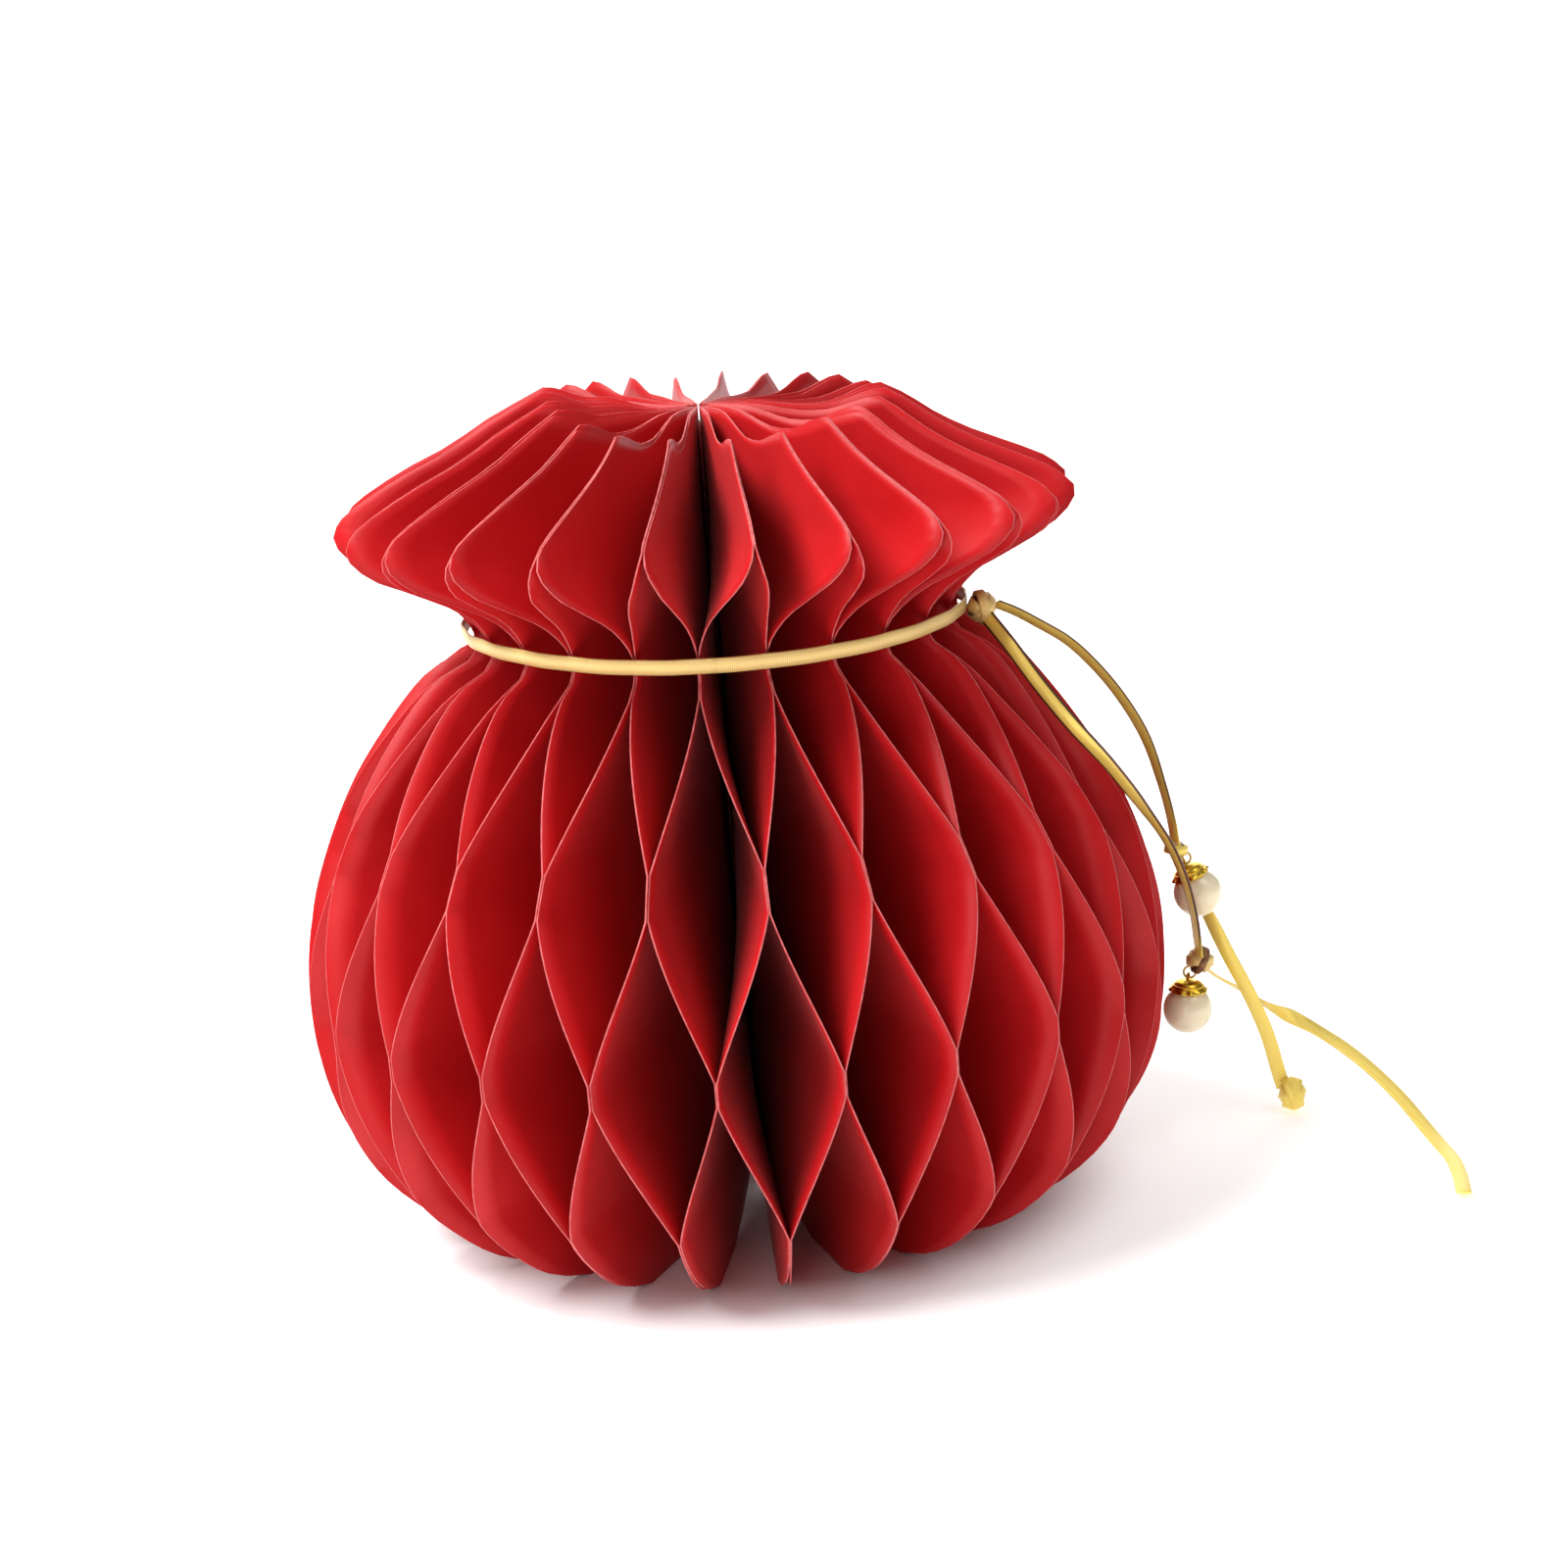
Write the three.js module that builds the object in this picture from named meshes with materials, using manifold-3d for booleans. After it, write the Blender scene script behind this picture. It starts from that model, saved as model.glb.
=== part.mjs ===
// A honeycomb-paper pouch decoration: paper leaves glued into a round fan with a pinched neck and a
// frilled top, a flat gold cord tied round the neck, and a capped pearl on each of its two tails.
// Millimetres. +Z is up, the floor is z = 0, and the pouch's centre line is the Z axis.
// A leaf's bearing is measured about +Z from -Y, the front, towards +X.

import * as THREE from 'three';
import { mergeVertices } from 'three/addons/utils/BufferGeometryUtils.js';
import Module from 'manifold-3d';

const wasm = await Module();
wasm.setup();

// ---------------------------------------------------------------- driving dimensions

const LEAVES = 48;
const PAPER = 0.3; // thickness of a leaf
const GAP = 0.3; // between pieces that touch
const FIRST_BEARING = THREE.MathUtils.degToRad(-4.1); // of the first glued fold
const SPINE_RADIUS = 4.4;
const LEAF_INNER = 5; // where a leaf's straight inner edge stands
const HEIGHT = 166.2;

const CORD_WIDTH = 3;
const CORD_THICKNESS = 1;
const TUBE = 2.4; // diameter of the plain tube that stands for a free tail
const LOOP_HEIGHT = 118.8;
const LOOP_INNER = 48.3;

const PEARL_RADIUS = 5;
const CAP_WALL = 0.4;
const EYE_RADIUS = 0.95; // centre line of the eye on a pearl's cap
const EYE_WIRE = 0.3; // half its thickness
const BIGHT_RADIUS = 1.25; // of the thread bight that passes through an eye
const CAP_RIM = THREE.MathUtils.degToRad(52); // from the crown to the cap's rim, at the pearl's centre
const EYE_SINK = 0.1; // how far the eye's root is let into the cap
const EYE_REACH = PEARL_RADIUS + GAP + CAP_WALL + EYE_RADIUS - EYE_SINK; // from the pearl's centre

// Glue strips, from the floor up: the span of heights, and the side of the leaf that is glued.
const STRIPS = [
  { from: 0, to: 19.4, side: -1 },
  { from: 46.8, to: 53.0, side: 1 },
  { from: 79.0, to: 88.0, side: -1 },
  { from: 112.5, to: 121.5, side: 1 },
  { from: 141.0, to: HEIGHT, side: -1 },
];

// The leaf's die-cut outline, as (radius, height).
const OUTER_EDGE = new THREE.SplineCurve([
  [45, 0], [56, 2.6], [67, 8.2], [77.6, 18.3], [83.5, 33.3], [85.6, 49.3], [84.6, 63.3],
  [79.5, 77.3], [70, 92.3], [60, 104.3], [52, 112.3], [47.6, 117], [47.6, 120.6], [54, 126.8],
  [63, 131.8], [70.3, 136.3], [72.6, 140.6], [70.6, 144], [65.5, 147], [59, 150.2],
  [53, 153.4], [47, 157], [40, 161.6], [32, HEIGHT],
].map(([r, z]) => new THREE.Vector2(r, z)));
const UNDERSIDE_EDGE = new THREE.SplineCurve([
  [34, 0], [24, 3.3], [12, 9.2], [LEAF_INNER, 11.3],
].map(([r, z]) => new THREE.Vector2(r, z)));
const CRATER_EDGE = new THREE.SplineCurve([
  [LEAF_INNER, 158.2], [18, 161.6], [26.5, 165.2], [30, HEIGHT],
].map(([r, z]) => new THREE.Vector2(r, z)));

// Free tails of the cord, from the neck knot down, as centre-line points.
const TAIL_A_ROUTE = [
  [54.6, -6.2, 118.4], [58.6, -4.5, 116.2], [63.4, -2.5, 112.9], [68.4, -0.5, 109.2],
  [72.9, 1, 104.6], [78.6, 2.4, 97], [83.8, 4, 87.3], [87, 5.2, 76.6], [88.8, 6.4, 68.4],
  [89.7, 7.9, 62.4], [91.2, 12.4, 57.8], [94, 15.3, 52.2], [97.3, 15.2, 44.6], [100.2, 14.6, 37.7],
  [104.6, 14.9, 28], [108.4, 17.2, 18.2], [110.8, 19.3, 9.2], [111.9, 19.9, 5.2],
];
const TAIL_B_ROUTE = [
  [52.6, -10.8, 116], [56.2, -12.8, 110.8], [60.6, -15.2, 103.9], [66.4, -19.8, 96.2],
  [73.2, -19.5, 87.9], [79.8, -16.7, 78], [85, -12.5, 69.4], [88.3, -9, 61.2],
  [90.8, -4, 51.6], [92.2, 1.2, 43.6], [93, 4, 39.6], [96.1, 10, 34.9], [104, 19.2, 27.5],
  [109.2, 21, 23.4], [118.8, 19, 17.9], [126.3, 12.6, 13], [132.6, 4.4, 7.2],
  [136.4, -3.4, 2.5], [137.6, -10, 1.3], [138, -18, 1.3], [137.2, -27, 1.3], [135.6, -36.6, 1.3],
];

const NECK_KNOT = { centre: [51.6, -8.2, 118.3], radii: [3, 3.2, 3.1] };
const TAIL_KNOTS = {
  a: { centre: [89.6, 7.9, 62.4], radii: [2.3, 2.4, 2.2] },
  b: { centre: [92.9, 4, 39.7], radii: [3, 2.7, 2.7] },
};
const END_KNOT = { centre: [113, 20.4, 2.55], radii: [2.5, 2.5, 2.5] };
const PEARLS = {
  a: { centre: [93.5, 7, 53.2], lean: THREE.MathUtils.degToRad(-20) },
  b: { centre: [89.9, 4, 29.6], lean: THREE.MathUtils.degToRad(4) },
};

// ---------------------------------------------------------------- materials

const paperRed = new THREE.MeshStandardMaterial({ color: 0xb51619, roughness: 0.8, metalness: 0 });
const spineRed = new THREE.MeshStandardMaterial({ color: 0x6e0d10, roughness: 0.9, metalness: 0 });
const goldCord = new THREE.MeshStandardMaterial({ color: 0xe6c15c, roughness: 0.5, metalness: 0.4 });
const goldCap = new THREE.MeshStandardMaterial({ color: 0xd4a81c, roughness: 0.25, metalness: 1 });
const pearl = new THREE.MeshStandardMaterial({ color: 0xf0e4c8, roughness: 0.2, metalness: 0 });

const pouch = new THREE.Group();

function addPiece(name, geometry, material, position = [0, 0, 0]) {
  const mesh = new THREE.Mesh(geometry, material);
  mesh.name = name;
  mesh.position.set(...position);
  pouch.add(mesh);
  return mesh;
}

// ---------------------------------------------------------------- booleans

function toManifold(geometry) {
  const bare = geometry.clone();
  bare.deleteAttribute('normal');
  bare.deleteAttribute('uv');
  const merged = mergeVertices(bare, 1e-4);
  return new wasm.Manifold(new wasm.Mesh({
    numProp: 3,
    vertProperties: new Float32Array(merged.attributes.position.array),
    triVerts: new Uint32Array(merged.index.array),
  }));
}

function toGeometry(manifold) {
  const mesh = manifold.getMesh();
  const geometry = new THREE.BufferGeometry();
  geometry.setAttribute('position', new THREE.BufferAttribute(mesh.vertProperties, 3));
  geometry.setIndex(new THREE.BufferAttribute(mesh.triVerts, 1));
  return geometry;
}

// ---------------------------------------------------------------- paper leaves

// The radius at which an edge curve, which rises or falls all the way, passes a height.
function radiusAt(edge, height) {
  const points = edge.getPoints(400);
  for (let i = 1; i < points.length; i += 1) {
    const [a, b] = [points[i - 1], points[i]];
    if ((a.y - height) * (b.y - height) <= 0 && a.y !== b.y) {
      return THREE.MathUtils.mapLinear(height, a.y, b.y, a.x, b.x);
    }
  }
  return points[height > HEIGHT / 2 ? points.length - 1 : 0].x;
}

function innerRadius(height) {
  const lowestInner = UNDERSIDE_EDGE.points.at(-1).y;
  const highestInner = CRATER_EDGE.points[0].y;
  if (height < lowestInner) return radiusAt(UNDERSIDE_EDGE, height);
  if (height > highestInner) return radiusAt(CRATER_EDGE, height);
  return LEAF_INNER;
}

// Heights that cut a leaf into rows: the strips' edges, the outline's corners and steps between.
function rowHeights() {
  const inner = [3.3, 11.3];
  const belly = [27, 37, 62, 71, 96, 104.3];
  const neck = [117, 120.6, 126.8, 131.8, 136.3];
  const frill = [146, 151, 155, 158.2, 161.6];
  const edges = STRIPS.flatMap(({ from, to }) => [from, to]);
  return [...inner, ...belly, ...neck, ...frill, ...edges].sort((a, b) => a - b);
}

// How far a leaf leans towards its glued side at a height: 1 or -1 in a strip, between in a cell.
function leanAt(height) {
  const upper = STRIPS.findIndex(({ to }) => height <= to);
  const strip = STRIPS[upper];
  if (height >= strip.from) return strip.side;
  const below = STRIPS[upper - 1];
  return THREE.MathUtils.mapLinear(height, below.to, strip.from, below.side, strip.side);
}

// Leaves alternate in hand, so that each is glued to one neighbour in a strip and to the other
// neighbour in the next. Every leaf stays in its own wedge between two glue planes.
function leafGeometry(index) {
  const pitch = (2 * Math.PI) / LEAVES;
  const middle = FIRST_BEARING + (index + 0.5) * pitch;
  const hand = index % 2 === 0 ? 1 : -1;
  const positions = [];
  const heights = rowHeights();
  for (const height of heights) {
    const lean = hand * leanAt(height);
    const bearing = middle - (lean * pitch) / 2;
    const shift = (lean * (PAPER + GAP)) / 2;
    const ends = [innerRadius(height), radiusAt(OUTER_EDGE, height)];
    const corners = [
      [ends[0], shift - PAPER / 2], [ends[1], shift - PAPER / 2],
      [ends[1], shift + PAPER / 2], [ends[0], shift + PAPER / 2],
    ];
    for (const [radius, aside] of corners) {
      positions.push(
        radius * Math.sin(bearing) + aside * Math.cos(bearing),
        -radius * Math.cos(bearing) + aside * Math.sin(bearing),
        height,
      );
    }
  }
  const faces = [0, 2, 1, 0, 3, 2];
  for (let row = 0; row < heights.length - 1; row += 1) {
    const [low, high] = [row * 4, row * 4 + 4];
    // Both sides of the sheet are split from the low inner corner to the high outer one, so that
    // it keeps its thickness where it twists.
    faces.push(low, low + 1, high + 1, low, high + 1, high);
    faces.push(low + 1, low + 2, high + 2, low + 1, high + 2, high + 1);
    faces.push(low + 2, low + 3, high + 2, low + 3, high + 3, high + 2);
    faces.push(low + 3, low, high, low + 3, high, high + 3);
  }
  const top = (heights.length - 1) * 4;
  faces.push(top, top + 1, top + 2, top, top + 2, top + 3);
  const geometry = new THREE.BufferGeometry();
  geometry.setAttribute('position', new THREE.Float32BufferAttribute(positions, 3));
  geometry.setIndex(faces);
  geometry.computeVertexNormals();
  return geometry;
}

for (let index = 0; index < LEAVES; index += 1) {
  addPiece(`leaf_${String(index + 1).padStart(2, '0')}`, leafGeometry(index), paperRed);
}

// ---------------------------------------------------------------- spine

function ring(profile, segments) {
  const closed = [...profile, profile[0]].map(([r, z]) => new THREE.Vector2(r, z));
  return new THREE.LatheGeometry(closed, segments).rotateX(Math.PI / 2);
}

const spineLow = UNDERSIDE_EDGE.points.at(-1).y;
const spineHigh = CRATER_EDGE.points[0].y;
const spine = new THREE.CylinderGeometry(SPINE_RADIUS, SPINE_RADIUS, spineHigh - spineLow, 16);
spine.rotateX(Math.PI / 2);
addPiece('spine_binding', spine, spineRed, [0, 0, (spineLow + spineHigh) / 2]);

// ---------------------------------------------------------------- cord

const vectors = (route) => route.map((point) => new THREE.Vector3(...point));

function tube(route, diameter, steps) {
  const section = new THREE.Shape();
  const sides = 8;
  for (let side = 0; side < sides; side += 1) {
    const angle = (2 * Math.PI * side) / sides;
    const place = [Math.cos(angle), Math.sin(angle)].map((part) => (part * diameter) / 2);
    if (side === 0) section.moveTo(...place);
    else section.lineTo(...place);
  }
  section.closePath();
  const path = new THREE.CatmullRomCurve3(vectors(route), false, 'centripetal');
  return new THREE.ExtrudeGeometry(section, { steps, bevelEnabled: false, extrudePath: path });
}

function loopRing(clearance) {
  const [inner, outer] = [LOOP_INNER - clearance, LOOP_INNER + CORD_THICKNESS + clearance];
  const half = CORD_WIDTH / 2 + clearance;
  return ring([
    [inner, LOOP_HEIGHT - half], [outer, LOOP_HEIGHT - half],
    [outer, LOOP_HEIGHT + half], [inner, LOOP_HEIGHT + half],
  ], LEAVES);
}

function lump({ centre, radii }) {
  return new THREE.SphereGeometry(1, 14, 9).scale(...radii).translate(...centre);
}

const TAIL_STEPS = 36;
const tailRoutes = { a: TAIL_A_ROUTE, b: TAIL_B_ROUTE };
const fatTails = Object.fromEntries(
  Object.entries(tailRoutes).map(([letter, route]) => (
    [letter, toManifold(tube(route, TUBE + 2 * GAP, TAIL_STEPS))]
  )),
);

addPiece('ribbon_loop', loopRing(0), goldCord);
addPiece('ribbon_tail_a', tube(TAIL_A_ROUTE, TUBE, TAIL_STEPS), goldCord);
addPiece('ribbon_tail_b', tube(TAIL_B_ROUTE, TUBE, TAIL_STEPS), goldCord);

const neckKnot = toManifold(lump(NECK_KNOT))
  .subtract(toManifold(loopRing(GAP)))
  .subtract(fatTails.a)
  .subtract(fatTails.b);
addPiece('ribbon_knot', toGeometry(neckKnot), goldCord);
addPiece('end_knot_a', toGeometry(toManifold(lump(END_KNOT)).subtract(fatTails.a)), goldCord);

// ---------------------------------------------------------------- pearls, caps and their knots

// Where a pearl's eye stands, from its centre, leaning in the XZ plane.
function eyePlace({ centre, lean }) {
  const [x, y, z] = centre;
  return [x + EYE_REACH * Math.sin(lean), y, z + EYE_REACH * Math.cos(lean)];
}

// A shallow cup over the pearl's crown with an eye on top, which turns about the X axis.
function capGeometry() {
  const inside = PEARL_RADIUS + GAP;
  const outside = inside + CAP_WALL;
  const steps = 6;
  const profile = [];
  for (let i = 0; i <= steps; i += 1) {
    const angle = (CAP_RIM * i) / steps;
    profile.push([inside * Math.sin(angle), inside * Math.cos(angle)]);
  }
  for (let i = steps; i >= 0; i -= 1) {
    const angle = (CAP_RIM * i) / steps;
    profile.push([outside * Math.sin(angle), outside * Math.cos(angle)]);
  }
  const shell = new THREE.LatheGeometry(
    profile.map(([r, z]) => new THREE.Vector2(Math.max(r, 0), z)), 20,
  ).rotateX(Math.PI / 2);
  const eye = new THREE.TorusGeometry(EYE_RADIUS, EYE_WIRE, 8, 16).rotateY(Math.PI / 2);
  eye.translate(0, 0, EYE_REACH);
  return toGeometry(toManifold(shell).add(toManifold(eye)));
}

// The thread bight of a knot, which passes through the eye along X and rises into the knot.
function bight(eye, knotCentre) {
  const rise = new THREE.Vector3(...knotCentre).sub(new THREE.Vector3(...eye));
  const side = Math.sign(rise.x);
  return new THREE.TorusGeometry(BIGHT_RADIUS, EYE_WIRE, 8, 16)
    .rotateX(Math.PI / 2)
    .translate(eye[0] + side * EYE_WIRE, eye[1], eye[2] + BIGHT_RADIUS);
}

for (const letter of ['a', 'b']) {
  const { centre, lean } = PEARLS[letter];
  const eye = eyePlace(PEARLS[letter]);
  const ball = new THREE.SphereGeometry(PEARL_RADIUS, 18, 12);
  addPiece(`pearl_${letter}`, ball, pearl, centre);
  const cap = addPiece(`pearl_cap_${letter}`, capGeometry(), goldCap, centre);
  cap.rotation.y = lean;
  const knot = toManifold(lump(TAIL_KNOTS[letter]))
    .add(toManifold(bight(eye, TAIL_KNOTS[letter].centre)))
    .subtract(fatTails[letter]);
  addPiece(`tail_knot_${letter}`, toGeometry(knot), goldCord);
}

export default pouch;
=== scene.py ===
import math
import random

import bmesh
import bpy
from mathutils import Matrix, Vector, noise


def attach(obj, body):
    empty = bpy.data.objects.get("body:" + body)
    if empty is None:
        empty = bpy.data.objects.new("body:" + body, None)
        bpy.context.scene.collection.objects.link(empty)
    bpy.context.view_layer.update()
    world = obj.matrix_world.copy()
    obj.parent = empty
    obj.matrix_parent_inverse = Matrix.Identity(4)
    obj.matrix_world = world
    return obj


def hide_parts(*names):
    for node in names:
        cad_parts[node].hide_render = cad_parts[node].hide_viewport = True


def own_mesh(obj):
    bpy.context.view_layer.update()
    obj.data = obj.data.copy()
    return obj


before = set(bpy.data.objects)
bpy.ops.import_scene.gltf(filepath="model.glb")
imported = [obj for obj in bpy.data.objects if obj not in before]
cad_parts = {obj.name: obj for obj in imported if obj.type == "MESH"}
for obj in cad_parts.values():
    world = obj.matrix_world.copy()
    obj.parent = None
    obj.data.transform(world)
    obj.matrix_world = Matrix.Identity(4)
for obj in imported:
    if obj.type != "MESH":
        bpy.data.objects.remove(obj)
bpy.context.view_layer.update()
MM = 0.001
scene = bpy.context.scene

# ---------------------------------------------------------------- camera

ELEVATION = math.radians(13.44)
ROLL = math.radians(-4.55)
DISTANCE = 600 * MM
TARGET_HEIGHT = 85.2 * MM

camera_data = bpy.data.cameras.new("camera")
camera_data.sensor_width = 36
camera_data.lens = 69.3
camera_data.shift_x = 0.0356
camera_data.clip_start = 0.01
camera = bpy.data.objects.new("camera", camera_data)
scene.collection.objects.link(camera)
camera.location = (
    0,
    -DISTANCE * math.cos(ELEVATION),
    TARGET_HEIGHT + DISTANCE * math.sin(ELEVATION),
)
camera.rotation_euler = (
    Matrix.Rotation(math.pi / 2 - ELEVATION, 3, "X") @ Matrix.Rotation(ROLL, 3, "Z")
).to_euler()
scene.camera = camera

# ---------------------------------------------------------------- mesh helpers


def add_mesh(name, vertices, faces, materials, indices=None, smooth=True, uvs=None):
    """A mesh object from vertices in millimetres. indices holds each face's material."""
    mesh = bpy.data.meshes.new(name)
    mesh.from_pydata([[c * MM for c in v] for v in vertices], [], faces)
    for material in materials:
        mesh.materials.append(material)
    for number, polygon in enumerate(mesh.polygons):
        polygon.use_smooth = smooth
        if indices:
            polygon.material_index = indices[number]
            polygon.use_smooth = smooth and indices[number] == 0
    if uvs:
        layer = mesh.uv_layers.new(name="along")
        for polygon in mesh.polygons:
            for corner in polygon.loop_indices:
                layer.data[corner].uv = uvs[mesh.loops[corner].vertex_index]
    mesh.validate()
    obj = bpy.data.objects.new(name, mesh)
    scene.collection.objects.link(obj)
    return obj


def spline(points, step):
    """Points about step apart on a centripetal Catmull-Rom curve through the given points."""
    points = [Vector(p) for p in points]
    ends = [2 * points[0] - points[1]] + points + [2 * points[-1] - points[-2]]
    out = []
    for p0, p1, p2, p3 in zip(ends, ends[1:], ends[2:], ends[3:]):
        t1 = math.sqrt((p1 - p0).length)
        t2 = t1 + math.sqrt((p2 - p1).length)
        t3 = t2 + math.sqrt((p3 - p2).length)
        count = max(2, round((p2 - p1).length / step))
        for number in range(count):
            t = t1 + (t2 - t1) * number / count
            a1 = p0 * ((t1 - t) / t1) + p1 * (t / t1)
            a2 = p1 * ((t2 - t) / (t2 - t1)) + p2 * ((t - t1) / (t2 - t1))
            a3 = p2 * ((t3 - t) / (t3 - t2)) + p3 * ((t - t2) / (t3 - t2))
            b1 = a1 * ((t2 - t) / t2) + a2 * (t / t2)
            b2 = a2 * ((t3 - t) / (t3 - t1)) + a3 * ((t - t1) / (t3 - t1))
            out.append(b1 * ((t2 - t) / (t2 - t1)) + b2 * ((t - t1) / (t2 - t1)))
    return out + [points[-1]]


def interpolate(table, x):
    """Linear interpolation in a sorted list of (x, value)."""
    if x <= table[0][0]:
        return table[0][1]
    for (x0, v0), (x1, v1) in zip(table, table[1:]):
        if x <= x1:
            return v0 + (v1 - v0) * (x - x0) / (x1 - x0)
    return table[-1][1]


def smoothstep(t):
    t = max(0.0, min(1.0, t))
    return t * t * (3 - 2 * t)


# ---------------------------------------------------------------- material helpers


def new_material(name, colour, roughness, **inputs):
    material = bpy.data.materials.new(name)
    material.use_nodes = True
    shader = material.node_tree.nodes["Principled BSDF"]
    shader.inputs["Base Color"].default_value = (*colour, 1)
    shader.inputs["Roughness"].default_value = roughness
    for key, value in inputs.items():
        shader.inputs[key.replace("_", " ")].default_value = value
    return material, material.node_tree, shader


def add_node(tree, kind, **settings):
    node = tree.nodes.new(kind)
    for key, value in settings.items():
        if key in node.inputs:
            node.inputs[key].default_value = value
        else:
            setattr(node, key, value)
    return node


def place(tree, scale=(1, 1, 1), source="Object"):
    """Coordinates in metres, stretched by scale."""
    coordinates = add_node(tree, "ShaderNodeTexCoord")
    mapping = add_node(tree, "ShaderNodeMapping", Scale=scale)
    tree.links.new(coordinates.outputs[source], mapping.inputs["Vector"])
    return mapping.outputs["Vector"]


def mottle(tree, shader, where, colours, scale, detail=4):
    """Colour that wanders between the given stops with noise."""
    pattern = add_node(tree, "ShaderNodeTexNoise", Scale=scale, Detail=detail)
    ramp = add_node(tree, "ShaderNodeValToRGB")
    tree.links.new(where, pattern.inputs["Vector"])
    tree.links.new(pattern.outputs["Fac"], ramp.inputs["Fac"])
    stops = ramp.color_ramp.elements
    while len(stops) < len(colours):
        stops.new(0.5)
    for number, colour in enumerate(colours):
        stops[number].position = 0.3 + 0.4 * number / max(1, len(colours) - 1)
        stops[number].color = (*colour, 1)
    tree.links.new(ramp.outputs["Color"], shader.inputs["Base Color"])
    return ramp


def add_bump(tree, shader, height, strength, distance, under=None):
    bump = add_node(tree, "ShaderNodeBump", Strength=strength, Distance=distance)
    tree.links.new(height, bump.inputs["Height"])
    if under:
        tree.links.new(under, bump.inputs["Normal"])
    tree.links.new(bump.outputs["Normal"], shader.inputs["Normal"])
    return bump.outputs["Normal"]


def noise_height(tree, where, scale, detail=3):
    pattern = add_node(tree, "ShaderNodeTexNoise", Scale=scale, Detail=detail)
    tree.links.new(where, pattern.inputs["Vector"])
    return pattern.outputs["Fac"]


# ---------------------------------------------------------------- materials


def paper_material():
    """Dyed tissue with a smooth calendered face and short fibres in it."""
    material, tree, shader = new_material("red_paper", (0.46, 0.008, 0.010), 0.42)
    shader.inputs["Specular IOR Level"].default_value = 0.18
    shader.inputs["Sheen Weight"].default_value = 0.07
    shader.inputs["Sheen Roughness"].default_value = 0.4
    shader.inputs["Sheen Tint"].default_value = (1, 0.6, 0.6, 1)
    where = place(tree)
    mottle(tree, shader, where, [(0.43, 0.006, 0.008), (0.50, 0.010, 0.013)], 60, 6)
    fibres = noise_height(tree, place(tree, (1, 1, 0.35)), 1800, 4)
    soft = add_bump(tree, shader, fibres, 0.25, 0.00006)
    waves = noise_height(tree, where, 45, 2)
    add_bump(tree, shader, waves, 0.35, 0.0006, soft)
    return material


def cut_edge_material():
    """The die-cut edge, where the paler core of the paper shows."""
    material, tree, shader = new_material("paper_cut_edge", (0.50, 0.09, 0.09), 0.8)
    where = place(tree)
    mottle(tree, shader, where, [(0.42, 0.05, 0.05), (0.60, 0.14, 0.14)], 700, 5)
    add_bump(tree, shader, noise_height(tree, where, 3000), 0.4, 0.00008)
    return material


def gold_ribbon_material(name, colours, selvage, shaded_length):
    """A flat woven metallic ribbon, ribbed across its width, with its UV map in millimetres.
    Outside selvage from its middle it is painted dark as painted shade, over the first shaded_length of
    it."""
    material, tree, shader = new_material(name, colours[0], 0.34, Metallic=0.28)
    where = place(tree, source="UV")
    weave = add_node(
        tree,
        "ShaderNodeTexWave",
        wave_type="BANDS",
        bands_direction="X",
        Scale=0.9,
        Distortion=1.2,
        Detail=2,
    )
    tree.links.new(where, weave.inputs["Vector"])
    ramp = add_node(tree, "ShaderNodeValToRGB")
    for stop, colour in zip(ramp.color_ramp.elements, colours):
        stop.color = (*colour, 1)
    tree.links.new(weave.outputs["Fac"], ramp.inputs["Fac"])
    split = add_node(tree, "ShaderNodeSeparateXYZ")
    tree.links.new(where, split.inputs["Vector"])
    out = add_node(tree, "ShaderNodeMath", operation="ABSOLUTE")
    tree.links.new(split.outputs["Y"], out.inputs[0])
    edge = add_node(tree, "ShaderNodeMapRange", interpolation_type="SMOOTHSTEP")
    edge.inputs["From Min"].default_value = selvage
    edge.inputs["From Max"].default_value = selvage + 0.35
    tree.links.new(out.outputs["Value"], edge.inputs["Value"])
    fade = add_node(tree, "ShaderNodeMapRange", interpolation_type="SMOOTHSTEP")
    fade.inputs["From Min"].default_value = shaded_length
    fade.inputs["From Max"].default_value = shaded_length + 10
    fade.inputs["To Min"].default_value = 1
    fade.inputs["To Max"].default_value = 0
    tree.links.new(split.outputs["X"], fade.inputs["Value"])
    painted_shade_mask = add_node(tree, "ShaderNodeMath", operation="MULTIPLY")
    tree.links.new(edge.outputs["Result"], painted_shade_mask.inputs[0])
    tree.links.new(fade.outputs["Result"], painted_shade_mask.inputs[1])
    # Painted shade: dark brown mixed in along the edges, fading out after shaded_length.
    mix = add_node(tree, "ShaderNodeMix", data_type="RGBA")
    tree.links.new(painted_shade_mask.outputs["Value"], mix.inputs["Factor"])
    tree.links.new(ramp.outputs["Color"], mix.inputs[6])
    mix.inputs[7].default_value = (0.10, 0.03, 0.015, 1)
    tree.links.new(mix.outputs[2], shader.inputs["Base Color"])
    ribs = add_bump(tree, shader, weave.outputs["Fac"], 0.35, 0.00012)
    add_bump(tree, shader, noise_height(tree, place(tree), 900), 0.3, 0.0001, ribs)
    return material


def dark_fold_material():
    """The ribbon's shaded inner folds in a knot."""
    material, tree, shader = new_material("gold_ribbon_fold", (0.20, 0.09, 0.045), 0.5, Metallic=0.6)
    where = place(tree, source="UV")
    mottle(tree, shader, where, [(0.10, 0.035, 0.03), (0.34, 0.18, 0.06)], 0.9, 4)
    add_bump(tree, shader, noise_height(tree, place(tree), 900), 0.4, 0.0001)
    return material


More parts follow.
